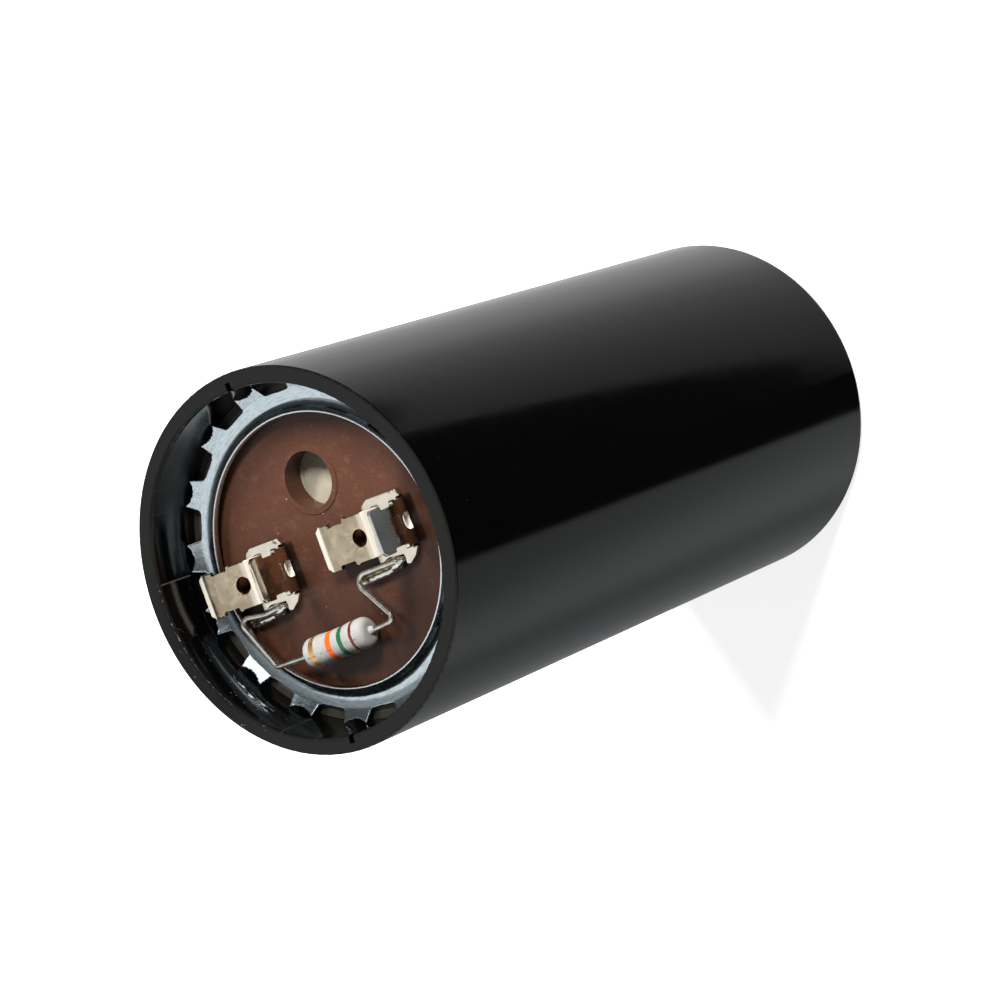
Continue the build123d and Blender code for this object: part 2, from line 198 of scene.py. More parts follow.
def effect_group(name, labels, build):
    """A node group that makes a mask from labelled values, built once and used again after that."""
    group = bpy.data.node_groups.get(name)
    if group is None:
        group = bpy.data.node_groups.new(name, "ShaderNodeTree")
        for label in labels:
            kind = "NodeSocketVector" if label == "Vector" else "NodeSocketFloat"
            group.interface.new_socket(label, in_out="INPUT", socket_type=kind)
        group.interface.new_socket("Mask", in_out="OUTPUT", socket_type="NodeSocketFloat")
        start = group.nodes.new("NodeGroupInput")
        end = group.nodes.new("NodeGroupOutput")
        group.links.new(build(group, start.outputs), end.inputs["Mask"])
    return group


def use_group(tree, group, **inputs):
    """Places an effect group in a material; returns its mask."""
    made = add_node(tree, "ShaderNodeGroup", node_tree=group)
    for name, value in inputs.items():
        if isinstance(value, bpy.types.NodeSocket):
            tree.links.new(value, made.inputs[name])
        else:
            made.inputs[name].default_value = value
    return made.outputs["Mask"]


def flecks(tree, vector, scale, size, share):
    """Small round flecks, dense or sparse, with uneven strength."""
    def build(tree, start):
        inputs = {"Vector": start["Vector"], "Scale": start["Scale"], "Randomness": 1.0}
        cells = add_node(tree, "ShaderNodeTexVoronoi", inputs)
        spot = ramp(tree, cells.outputs["Distance"], start["Size"], 0.0)
        pick = add_node(tree, "ShaderNodeSeparateColor", {"Color": cells.outputs["Color"]})
        chosen = maths(tree, "LESS_THAN", pick.outputs[0], start["Share"])
        return times(tree, spot, times(tree, chosen, pick.outputs[1]), clamp=True)

    group = effect_group("flecks", ("Vector", "Scale", "Size", "Share"), build)
    return use_group(tree, group, Vector=vector, Scale=scale, Size=size, Share=share)


def scratch_group():
    """One fine scratch along the axis on the wall of the well, broken up here and there."""
    def build(tree, start):
        away = times(tree, gap(tree, start["Angle"], start["At"]), math.radians(MOUTH_RADIUS))
        line = ramp(tree, away, start["Width"], 0.0)
        low = ramp(tree, start["Height"], start["From"], plus(tree, start["From"], 0.4))
        high = ramp(tree, start["Height"], start["To"], minus(tree, start["To"], 0.4))
        worn = ramp(tree, start["Grain"], 0.35, 0.6, 0.25, 1.0)
        mask = times(tree, times(tree, line, worn), times(tree, low, high))
        return times(tree, mask, start["Depth"], clamp=True)

    labels = ("Angle", "Height", "Grain", "At", "From", "To", "Width", "Depth")
    return effect_group("wall scratch", labels, build)


def scuff_lines(tree, vector):
    """Fine scuff lines in two directions, broken up in patches."""
    def build(tree, start):
        lines = []
        for turn in ((0.3, 0.5, 0.4), (1.1, -0.4, 1.9)):
            grain = stretched(tree, start["Vector"], (6.0, 0.35, 6.0), turn)
            lines.append(ramp(tree, noise(tree, grain, 1.0, 2.0), 0.66, 0.74))
        patches = ramp(tree, noise(tree, start["Vector"], 0.35, 2.0), 0.5, 0.66)
        return times(tree, larger(tree, *lines), patches)

    return use_group(tree, effect_group("scuff lines", ("Vector",), build), Vector=vector)


def new_finish(name, **constants):
    """A material with a Principled shader; constants are set on the shader's own sockets."""
    material = bpy.data.materials.new(name)
    material.use_nodes = True
    tree = material.node_tree
    shader = tree.nodes["Principled BSDF"]
    for label, value in constants.items():
        shader.inputs[label.replace("_", " ")].default_value = value
    return material, tree, shader.inputs


def plug(tree, sockets, **links):
    """Links values to the shader's sockets."""
    for label, value in links.items():
        tree.links.new(value, sockets[label.replace("_", " ")])


def dress(obj, material):
    """Gives an object one material."""
    obj.data.materials.clear()
    obj.data.materials.append(material)


def moulding_finish(look):
    """Black phenolic: gloss wall, dull rim with chips and a painted highlight on its inner edge, and a
    well wall with scratches and scuffs.
    """
    material, tree, sockets = new_finish("case_moulding", IOR=1.5)
    mm = millimetres(tree)
    x, y, z = parts(tree, mm)
    radius = length(tree, x, y)
    # degrees round the axis, from 0 to 360
    angle = maths(tree, "WRAP", maths(tree, "DEGREES", maths(tree, "ARCTAN2", y, x)), 360.0, 0.0)
    rim = ramp(tree, z, CASE_LENGTH - 0.35, CASE_LENGTH - 0.05)
    well = times(tree, ramp(tree, radius, 24.5, 24.3), ramp(tree, z, 102.0, 103.0))
    cloud = noise(tree, mm, 0.25, 3.0)
    grain = noise(tree, mm, 9.0, 3.0, 0.7)
    mottled = ramp(tree, grain, 0.35, 0.7, 0.8, 1.2)
    worn = stretch_of(tree, angle, 160.0, 195.0, 216.0, 236.0)
    mottled = minus(tree, mottled, times(tree, worn, 0.55))
    colour = blend(tree, rim, look.case_colour, shaded(tree, look.rim_colour, mottled))

    # dust: a few specks anywhere, more of them low in the well
    specks = flecks(tree, mm, 1.3, 0.13, 0.10)
    low_side = stretch_of(tree, angle, 178.0, 195.0, 228.0, 245.0)
    low_side = times(tree, low_side, ramp(tree, z, 105.5, 108.0))
    gritty = times(tree, flecks(tree, mm, 2.2, 0.3, 0.16), low_side)
    marks = plus(tree, times(tree, specks, 0.2), times(tree, gritty, 0.75))

    # scratches along the axis: angle, lower and upper end, width and depth
    for at, start, end, width, depth in (
        (140.3, 104.8, 111.2, 0.09, 0.16), (149.2, 106.9, 110.6, 0.08, 0.14),
        (172.4, 104.2, 110.8, 0.16, 0.32), (239.9, 104.2, 111.2, 0.07, 0.2),
        (253.8, 107.6, 111.2, 0.07, 0.18),
    ):
        scratch = use_group(tree, scratch_group(), Angle=angle, Height=z, Grain=grain, At=at,
                            From=start, To=end, Width=width, Depth=depth)
        marks = plus(tree, marks, times(tree, scratch, well))

    # the rim's inner edge is chipped, with a broken painted highlight along part of its length
    chipped = stretch_of(tree, angle, 168.0, 176.0, 216.0, 226.0)
    edge = ramp(tree, gap(tree, radius, MOUTH_RADIUS + 0.17), 0.08, 0.02)
    edge = times(tree, edge, ramp(tree, z, CASE_LENGTH - 0.4, CASE_LENGTH - 0.3))
    broken = ramp(tree, noise(tree, mm, 2.6, 3.0, 0.7), 0.5, 0.66)
    chips_and_glint = times(tree, chipped, edge, broken)
    marks = plus(tree, marks, times(tree, chips_and_glint, 0.5), clamp=True)

    # a streaky scuff low in the well, which climbs a little as it goes round
    climb = minus(tree, z, times(tree, angle, 0.03))
    streaks = noise(tree, joined(tree, times(tree, angle, 0.06), climb), 3.4, 3.0, 0.7)
    streaks = ramp(tree, streaks, 0.5, 0.66)
    patch = ramp(tree, gap(tree, climb, 100.4), 0.9, 0.2)
    patch = times(tree, patch, stretch_of(tree, angle, 208.0, 215.0, 225.0, 230.0))
    scuffs = times(tree, patch, streaks, well)
    # pale marks: dust, scratches, chips and the painted highlight on the rim's inner edge
    colour = blend(tree, marks, colour, (0.50, 0.50, 0.48))
    colour = blend(tree, scuffs, colour, (0.85, 0.88, 0.90))
    marks = plus(tree, marks, scuffs, clamp=True)

    # a dark tool line on the rim's face
    line = plus(tree, radius, times(tree, minus(tree, angle, 178.0), 0.01))
    line = times(tree, ramp(tree, gap(tree, line, MOUTH_RADIUS + 0.67), 0.07, 0.02), chipped)
    groove = times(tree, line, rim, 0.6)
    colour = blend(tree, groove, colour, (0.003, 0.003, 0.003))

    gloss = ramp(tree, cloud, 0.35, 0.7, look.case_roughness, look.case_roughness + 0.03)
    hazy = times(tree, stretch_of(tree, angle, 108.0, 130.0, 140.0, 160.0), well, 0.32)
    rough = plus(tree, plus(tree, gloss, hazy), times(tree, rim, 0.75))
    rough = plus(tree, rough, times(tree, marks, 0.5), clamp=True)
    ripple = noise(tree, stretched(tree, mm, (0.08, 0.08, 0.03)), 1.0, 1.0)
    height = minus(tree, times(tree, grain, times(tree, rim, 0.3)), groove)
    height = plus(tree, height, times(tree, ripple, 0.5))
    plug(tree, sockets, Base_Color=colour, Roughness=rough, Normal=bump(tree, height, 0.00006, 0.8))
    return material


def plated_finish(look):
    """Zinc plated steel: bright and smooth, with drawn streaks, a few rubbed marks and a painted
    highlight on the lip's edge.
    """
    material, tree, sockets = new_finish("ring_plating", Metallic=1.0)
    mm = millimetres(tree)
    x, y, z = parts(tree, mm)
    radius = length(tree, x, y)
    drawn = joined(tree, times(tree, maths(tree, "ARCTAN2", y, x), 5.0), radius)
    streak = noise(tree, drawn, 3.2, 4.0, 0.62)
    cloud = noise(tree, mm, 0.8, 4.0, 0.6)
    spangle = noise(tree, mm, 3.2, 4.0, 0.7)
    colour = shaded(tree, look.ring_colour, ramp(tree, streak, 0.32, 0.6, 0.82, 1.04))
    teeth = ramp(tree, radius, 21.9, 22.3)
    dark = times(tree, teeth, ramp(tree, spangle, 0.56, 0.44, 0.0, 0.35))
    colour = blend(tree, dark, colour, (0.30, 0.35, 0.36))
    colour = blend(tree, times(tree, scuff_lines(tree, mm), 0.5), colour, (0.16, 0.18, 0.20))
    rough = ramp(tree, cloud, 0.3, 0.75, look.ring_roughness, look.ring_roughness + 0.07)
    rough = plus(tree, rough, times(tree, dark, 0.3))
    # the lip's edge is painted paler as a painted highlight, and is nicked all round so that it sparkles
    lip = times(tree, ramp(tree, z, 103.75, 103.95), ramp(tree, radius, 20.0, 19.6))
    colour = blend(tree, lip, colour, (0.86, 0.88, 0.88))
    rough = plus(tree, rough, times(tree, lip, 0.14))
    nicks = noise(tree, mm, 2.6, 2.0, 0.6)
    height = plus(tree, times(tree, streak, 0.2), times(tree, nicks, lip))
    plug(tree, sockets, Base_Color=colour, Roughness=rough, Normal=bump(tree, height, 0.00005, 0.5))
    return material


def laminate_finish(look):
    """Reddish brown phenolic board with pale fibre flecks, worn patches, grains of dust and painted
    shade.
    """
    material, tree, sockets = new_finish("deck_laminate", IOR=1.5, Specular_IOR_Level=0.3)
    mm = millimetres(tree)
    fibres = noise(tree, stretched(tree, mm, (2.2, 4.5, 2.2), (0.0, 0.0, 0.5)), 1.3, 4.0, 0.7)
    cloud = noise(tree, mm, 0.2, 4.0, 0.6)
    worn = noise(tree, mm, 0.5, 4.0, 0.62)
    base = blend(tree, ramp(tree, fibres, 0.3, 0.72), look.deck_dark, look.deck_colour)
    base = blend(tree, ramp(tree, cloud, 0.42, 0.66, 0.0, 0.55), base, look.deck_dark)
    base = blend(tree, ramp(tree, worn, 0.52, 0.74, 0.0, 0.28), base, look.deck_fleck)
    # fine flecks, larger pale ones and a few grains of dust
    for scale, size, share, strength, paint in (
        (4.5, 0.36, 0.5, 0.85, look.deck_fleck), (2.2, 0.22, 0.3, 0.7, look.deck_fleck),
        (0.6, 0.075, 0.5, 1.6, (0.55, 0.50, 0.44)),
    ):
        mask = times(tree, flecks(tree, mm, scale, size, share), strength, clamp=True)
        base = blend(tree, mask, base, paint)
    # painted shade low on the board and at its right, and a painted shadow at the foot of each upright
    # tab
    painted_shade = times(tree, ramp(tree, dot(tree, mm, OVERHEAD), 9.0, -12.0, 0.95, 0.5),
                  ramp(tree, dot(tree, mm, SIDEWAYS), 9.5, 12.5, 1.0, 0.5))
    x, y, _ = parts(tree, mm)
    for face_x, centre_y, _ in STRIPS.values():
        foot_shadow = times(tree, ramp(tree, gap(tree, x, face_x), 1.0, 0.5),
                       ramp(tree, gap(tree, y, centre_y), 3.7, 3.2), 0.75)
        painted_shade = times(tree, painted_shade, minus(tree, 1.0, foot_shadow))
    rough = ramp(tree, fibres, 0.3, 0.75, look.deck_roughness, look.deck_roughness + 0.12)
    height = plus(tree, fibres, times(tree, noise(tree, mm, 6.0, 3.0), 0.6))
    plug(tree, sockets, Base_Color=shaded(tree, base, painted_shade), Roughness=rough,
         Normal=bump(tree, height, 0.00003, 0.45))
    return material


def rubber_finish(look):
    """Cream rubber, with painted shade under the ring and most of all against the wall."""
    material, tree, sockets = new_finish(
        "seal_rubber", IOR=1.45, Subsurface_Weight=0.08, Subsurface_Radius=(0.8, 0.6, 0.4),
        Subsurface_Scale=0.001,
    )
    mm = millimetres(tree)
    x, y, _ = parts(tree, mm)
    radius = length(tree, x, y)
    cloud = noise(tree, mm, 0.5, 3.0)
    colour = blend(tree, ramp(tree, cloud, 0.3, 0.7), look.seal_colour, look.seal_shade)
    colour = blend(tree, flecks(tree, mm, 0.9, 0.06, 0.2), colour, (0.12, 0.10, 0.07))
    # painted shade: darker under the ring, darkest against the wall
    painted_shade = times(tree, ramp(tree, radius, 19.5, 20.5, 1.0, 0.7),
                  ramp(tree, radius, 22.2, 23.0, 1.0, 0.1))
    rough = ramp(tree, cloud, 0.3, 0.7, 0.42, 0.55)
    plug(tree, sockets, Base_Color=shaded(tree, colour, painted_shade), Roughness=rough,
         Normal=bump(tree, noise(tree, mm, 3.0, 3.0), 0.00003, 0.4))
    return material


def terminal_finish(look):
    """Tinned brass: warm and smooth on the base, duller on the side tabs, with a painted sheen of peach
    round each side tab's hole and a painted slate reflection on the right upright.
    """
    material, tree, sockets = new_finish("terminal_tin", Metallic=1.0)
    mm = millimetres(tree)
    x, y, z = parts(tree, mm)
    # distance from each upright tab's face, and from each strip's centre line
    (left_x, left_y, _), (right_x, right_y, _) = STRIPS["left"], STRIPS["right"]
    right = maths(tree, "GREATER_THAN", x, -2.0)
    inward = minus(tree, x, plus(tree, times(tree, right, right_x - left_x), left_x))
    across = minus(tree, y, plus(tree, times(tree, right, right_y - left_y), left_y))
    aside = maths(tree, "ABSOLUTE", across)
    cloud = noise(tree, mm, 0.8, 3.0)
    fine = noise(tree, mm, 2.4, 4.0, 0.6)
    tint = shaded(tree, look.tab_colour, ramp(tree, cloud, 0.3, 0.72, 0.94, 1.03))
    tip = ramp(tree, inward, -13.4, -13.9)
    side_tab = times(tree, ramp(tree, inward, -6.6, -7.4), minus(tree, 1.0, tip))
    mottled = ramp(tree, noise(tree, mm, 0.45, 3.0, 0.6), 0.36, 0.64, 0.78, 1.06)
    tint = blend(tree, side_tab, tint, shaded(tree, look.tab_shade, mottled))
    # a painted peach sheen round the side tab's hole, and a faint painted highlight ring on its press
    # mark
    hole = length(tree, minus(tree, inward, SIDE_HOLE), across)
    peach = times(tree, ramp(tree, hole, 2.6, 1.2), ramp(tree, fine, 0.42, 0.6), 0.55)
    tint = blend(tree, peach, tint, (0.86, 0.62, 0.38))
    mark = length(tree, minus(tree, inward, PRESS_MARK), times(tree, across, 0.8))
    mark = times(tree, ramp(tree, gap(tree, mark, 1.45), 0.7, 0.0), ramp(tree, cloud, 0.4, 0.6))
    tint = blend(tree, times(tree, mark, side_tab, 0.32), tint, (0.80, 0.66, 0.46))
    tint = blend(tree, times(tree, scuff_lines(tree, mm), 0.25), tint, (0.45, 0.36, 0.26))
    spots = times(tree, flecks(tree, mm, 0.9, 0.13, 0.4), ramp(tree, aside, 3.1, 3.6), 0.5)
    tint = blend(tree, spots, tint, (0.30, 0.25, 0.18))
    # pale dull tin on the tip, on the joggle, and in the upright's hole and behind it
    joggle = times(tree, stretch_of(tree, inward, -6.5, -6.1, -4.8, -4.4),
                   ramp(tree, z, PLATE_TOP + 0.05, PLATE_TOP + 0.3), 0.7)
    behind = times(tree, stretch_of(tree, inward, -4.0, -3.5, -0.85, -0.7), ramp(tree, aside, 1.6, 1.3),
                   ramp(tree, z, UPRIGHT_HOLE + 1.1, UPRIGHT_HOLE + 0.8))
    bore = length(tree, across, minus(tree, z, UPRIGHT_HOLE))
    bore = times(tree, ramp(tree, bore, 1.36, 1.26), stretch_of(tree, inward, -1.2, -1.0, -0.08, -0.02))
    dull = larger(tree, larger(tree, joggle, larger(tree, behind, bore)), times(tree, tip, 0.75))
    tint = blend(tree, dull, tint, (0.82, 0.77, 0.68))
    # a painted slate reflection, dull and mottled, on the upper part of the right upright's face
    slate_reflection = times(tree, ramp(tree, z, 106.6, 107.8), ramp(tree, inward, -0.8, -0.4), right,
                 ramp(tree, fine, 0.35, 0.65, 0.75, 1.0))
    tint = blend(tree, times(tree, slate_reflection, 0.9), tint, (0.52, 0.57, 0.59))
    rough = ramp(tree, fine, 0.3, 0.75, look.tab_roughness, look.tab_roughness + 0.07)
    rough = plus(tree, plus(tree, rough, times(tree, slate_reflection, 0.22)), times(tree, dull, 0.2))
    metal = minus(tree, 1.0, larger(tree, dull, times(tree, slate_reflection, 0.17)))
    plug(tree, sockets, Base_Color=tint, Roughness=rough, Metallic=metal,
         Normal=bump(tree, noise(tree, mm, 0.8, 1.0), 0.00003, 0.4))
    return material


def tinned_finish(name, colour, roughness):
    """Tinned copper wire and solder: soft edged reflections and dull patches."""
    material, tree, sockets = new_finish(name, Metallic=1.0)
    mm = millimetres(tree)
    cloud = noise(tree, mm, 0.9, 3.0)
    fine = noise(tree, mm, 4.0, 3.0, 0.6)
    tint = shaded(tree, colour, ramp(tree, cloud, 0.35, 0.65, 0.72, 1.04))
    tint = blend(tree, times(tree, scuff_lines(tree, mm), 0.3), tint, (0.45, 0.36, 0.26))
    rough = ramp(tree, fine, 0.3, 0.75, roughness, roughness + 0.1)
    plug(tree, sockets, Base_Color=tint, Roughness=rough, Normal=bump(tree, cloud, 0.00004, 0.5))
    return material


def flux_finish(look):
    """Dried flux: olive brown and glassy, darker where it is thick."""
    material, tree, sockets = new_finish("dried_flux", IOR=1.5)
    mm = millimetres(tree)
    cloud = noise(tree, mm, 1.6, 3.0, 0.6)
    colour = blend(tree, ramp(tree, cloud, 0.35, 0.65), look.flux_colour, (0.03, 0.02, 0.008))
    rough = ramp(tree, cloud, 0.3, 0.7, 0.12, 0.3)
    plug(tree, sockets, Base_Color=colour, Roughness=rough, Normal=bump(tree, cloud, 0.00004, 0.4))
    return material


def plain_finish(name, colour, shade, roughness, scale, stretch=(1.0, 1.0, 1.0), metallic=0.0):
    """A two tone finish with grain, for the pieces inside the can."""
    material, tree, sockets = new_finish(name, Metallic=metallic)
    mm = millimetres(tree)
    grain = noise(tree, stretched(tree, mm, stretch), scale, 4.0, 0.65)
    tone = blend(tree, ramp(tree, grain, 0.3, 0.72), colour, shade)
    rough = ramp(tree, grain, 0.3, 0.7, roughness, roughness + 0.12)
    plug(tree, sockets, Base_Color=tone, Roughness=rough, Normal=bump(tree, grain, 0.00005, 0.5))
    return material


def lacquer_finish(look):
    """The resistor's pale grey lacquer with four painted bands."""
    material, tree, sockets = new_finish("resistor_lacquer", IOR=1.5)
    mm = millimetres(tree)
    turn = math.radians(BODY_TURN)
    along = Vector((math.cos(turn), math.sin(turn), 0.0))
    over = Vector((-math.sin(turn), math.cos(turn), 0.0))
    wobble = times(tree, minus(tree, noise(tree, mm, 1.2, 2.0), 0.5), 0.22)
    place = plus(tree, minus(tree, dot(tree, mm, along), BODY_CENTRE.dot(along)), wobble)
    cloud = noise(tree, mm, 0.8, 3.0)
    colour = blend(tree, ramp(tree, cloud, 0.35, 0.7), look.body_colour, look.body_shade)
    # each band's place from the middle of the body, its width and its paint; the first is metallic
    bands = ((-3.675, 0.85, look.band_gold), (-0.575, 0.95, look.band_orange),
             (1.525, 0.8, look.band_green), (3.625, 0.5, look.band_brown))
    masks = []
    for middle, width, paint in bands:
        away = gap(tree, place, middle)
        masks.append(ramp(tree, away, width / 2 - 0.05, width / 2 + 0.05, 1.0, 0.0))
        colour = blend(tree, masks[-1], colour, paint)
    # a broken line of brown flux along the top of the body
    offset = minus(tree, dot(tree, mm, over), BODY_CENTRE.dot(over) - 0.35)
    offset = maths(tree, "ABSOLUTE", plus(tree, offset, times(tree, wobble, 1.2)))
    top = maths(tree, "GREATER_THAN", parts(tree, mm)[2], 104.8)
    broken = ramp(tree, noise(tree, mm, 1.5, 3.0, 0.7), 0.47, 0.55)
    smear = times(tree, ramp(tree, offset, 0.13, 0.04), top, broken,
                  stretch_of(tree, place, -4.9, -4.6, 4.2, 4.5), 0.75)
    colour = blend(tree, smear, colour, (0.10, 0.06, 0.035))
    rough = ramp(tree, cloud, 0.3, 0.7, 0.28, 0.36)
    plug(tree, sockets, Base_Color=colour, Metallic=times(tree, masks[0], 0.85), Roughness=rough,
         Normal=bump(tree, noise(tree, mm, 2.5, 2.0), 0.00003, 0.4))
    return material


def colour_setting(name, description, value):
    """A colour property."""
    return FloatVectorProperty(name=name, description=description, default=value, subtype="COLOR",
                               size=3, min=0.0, max=1.0)


def share_setting(name, description, value):
    """A property from 0 to 1."""
    return FloatProperty(name=name, description=description, default=value, subtype="FACTOR",
                         min=0.0, max=1.0)


class CapacitorLook(bpy.types.PropertyGroup):
    """Colours and gloss of the visible finishes, and how soft the pressed metal is."""
    case_colour: colour_setting("Case", "Gloss black of the moulded wall", (0.0012, 0.0013, 0.0013))
    case_roughness: share_setting("Case roughness", "How dull the moulded wall is", 0.08)
    rim_colour: colour_setting("Rim", "Dull black of the rim's face", (0.0085, 0.0085, 0.0080))
    ring_colour: colour_setting("Ring", "Plating of the retaining ring", (0.60, 0.68, 0.71))
    ring_roughness: share_setting("Ring roughness", "How dull the plating is", 0.13)
    ring_grain: FloatProperty(name="Ring grain", description="Size of the ring's mesh grain",
                              default=0.000145, min=0.00008, unit="LENGTH")
    flange_sweep: FloatProperty(name="Flange sweep", default=0.125, min=0.0, max=0.3,
                                description="How fast the flange curves up to the teeth")
    deck_colour: colour_setting("Deck", "Main brown of the laminate", (0.120, 0.047, 0.026))
    deck_dark: colour_setting("Deck shade", "Darker brown of the laminate", (0.078, 0.030, 0.017))
    deck_fleck: colour_setting("Deck flecks", "Pale fibres in the laminate", (0.24, 0.115, 0.07))
    deck_roughness: share_setting("Deck roughness", "How dull the laminate is", 0.34)
    seal_colour: colour_setting("Seal", "Cream of the rubber", (0.42, 0.385, 0.30))
    seal_shade: colour_setting("Seal shade", "Darker cream of the rubber", (0.35, 0.32, 0.25))
    tab_colour: colour_setting("Terminals", "Tinned surface of the terminals", (0.82, 0.74, 0.62))
    tab_shade: colour_setting("Side tabs", "Duller tin of the side tabs", (0.49, 0.405, 0.287))
    tab_roughness: share_setting("Terminal roughness", "How dull the tinning is", 0.14)
    tab_grain: FloatProperty(name="Terminal grain", description="Size of the terminals' mesh grain",
                             default=0.00009, min=0.00005, unit="LENGTH")
    lead_colour: colour_setting("Leads", "Tinned wire", (0.78, 0.73, 0.64))
    lead_roughness: share_setting("Lead roughness", "How dull the wire is", 0.3)
    solder_colour: colour_setting("Solder", "Bright solder", (0.84, 0.82, 0.78))
    flux_colour: colour_setting("Flux", "Olive brown of dried flux", (0.30, 0.23, 0.10))
    body_colour: colour_setting("Resistor", "Pale lacquer of the resistor", (0.43, 0.425, 0.41))
    body_shade: colour_setting("Resistor shade", "Darker lacquer of the resistor", (0.38, 0.375, 0.36))
    band_gold: colour_setting("First band", "Gold band", (0.86, 0.50, 0.20))
    band_orange: colour_setting("Second band", "Orange band", (0.86, 0.13, 0.015))
    band_green: colour_setting("Third band", "Green band", (0.010, 0.12, 0.045))
    band_brown: colour_setting("Fourth band", "Red brown band", (0.13, 0.020, 0.011))


class CapacitorStage(bpy.types.PropertyGroup):
    """Light, floor and camera."""
    key_power: FloatProperty(name="Key lights", description="Power of each light over the open end",
                             default=6.6, min=0.0, unit="POWER")
    back_power: FloatProperty(name="Back light", description="Power of the soft light over the barrel",
                              default=4.0, min=0.0, unit="POWER")
    fill: share_setting("Fill", "Light from all round", 0.14)
    floor_size: FloatProperty(name="Floor", description="Width of the floor", default=4.0, min=1.0,
                              subtype="DISTANCE", unit="LENGTH")
    lens: FloatProperty(name="Lens", description="Focal length in millimetres", default=113.217,
                        min=20.0)


class CAPACITOR_OT_case(bpy.types.Operator):
    """Finish the moulded case"""
    bl_idname = "capacitor.case"
    bl_label = "Case"

    def execute(self, context):
        dress(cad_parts["case"], moulding_finish(context.scene.capacitor_look))
        return {"FINISHED"}


class CAPACITOR_OT_closure(bpy.types.Operator):
    """Finish the deck and the seal, and make the ring with its flange swept up to the teeth"""
    bl_idname = "capacitor.closure"
    bl_label = "Deck, seal and ring"

    def execute(self, context):
        look = context.scene.capacitor_look
        dress(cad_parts["deck"], laminate_finish(look))
        dress(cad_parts["seal"], rubber_finish(look))
        mesh = softened("swept_ring", joined_copy("retaining_ring"), look.ring_grain, 2)
        for vertex in mesh.vertices:
            radius, height = math.hypot(vertex.co.x, vertex.co.y) / MM, vertex.co.z / MM
            out = min(max(radius - FLANGE_START, 0.0), FLANGE_RUN)
            # the lip thins to its edge
            thin = 0.5 * step_up(height, 103.4, 104.1) * (radius < 19.8)
            vertex.co.xy *= 1.0 - thin * (radius - LIP_MIDDLE) / radius
            vertex.co.z += look.flange_sweep * out * out * MM
        finished_piece("swept_ring", mesh, plated_finish(look), "retaining_ring")
        return {"FINISHED"}


def joined_copy(node):
    """A copy of a CAD node's loose triangles, joined into one closed shape."""
    shape = bmesh.new()
    shape.from_mesh(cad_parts[node].data)
    bmesh.ops.remove_doubles(shape, verts=shape.verts, dist=1e-7)
    return shape


def placed(name, shape):
    """An object in the scene, made from a shape that is then let go."""
    mesh = bpy.data.meshes.new(name)
    shape.to_mesh(mesh)
    shape.free()
    made = bpy.data.objects.new(name, mesh)
    bpy.context.collection.objects.link(made)
    return made


def softened(name, shape, grain, passes):
    """Remeshes a shape at one grain size and rounds its edges; returns the new mesh."""
    source = placed(name + "_start", shape)
    remesh = source.modifiers.new("grain", "REMESH")
    remesh.mode, remesh.voxel_size = "VOXEL", grain
    smooth = source.modifiers.new("rounding", "SMOOTH")
    smooth.factor, smooth.iterations = 0.5, passes
    graph = bpy.context.evaluated_depsgraph_get()
    made = bpy.data.meshes.new_from_object(source.evaluated_get(graph))
    start = source.data
    bpy.data.objects.remove(source)
    bpy.data.meshes.remove(start)
    return made


def push(mesh, height):
    """Moves each point along its normal by height(point), both in millimetres."""
    normals = [v.normal.copy() for v in mesh.vertices]
    for vertex, normal in zip(mesh.vertices, normals):
        vertex.co += normal * height(vertex.co * 1000.0) * MM


def finished_piece(name, mesh, material, node=None):
    """Puts a finished mesh in the scene on the part's one body."""
    mesh.polygons.foreach_set("use_smooth", [True] * len(mesh.polygons))
    mesh.name = name
    piece = bpy.data.objects.new(name, mesh)
    bpy.context.collection.objects.link(piece)
    dress(piece, material)
    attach(piece, "root")
    if node is not None:
        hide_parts(node)


def step_up(value, low, high):
    """0 below low, 1 above high, smooth between."""
    share = min(max((value - low) / (high - low), 0.0), 1.0)
    return share * share * (3.0 - 2.0 * share)


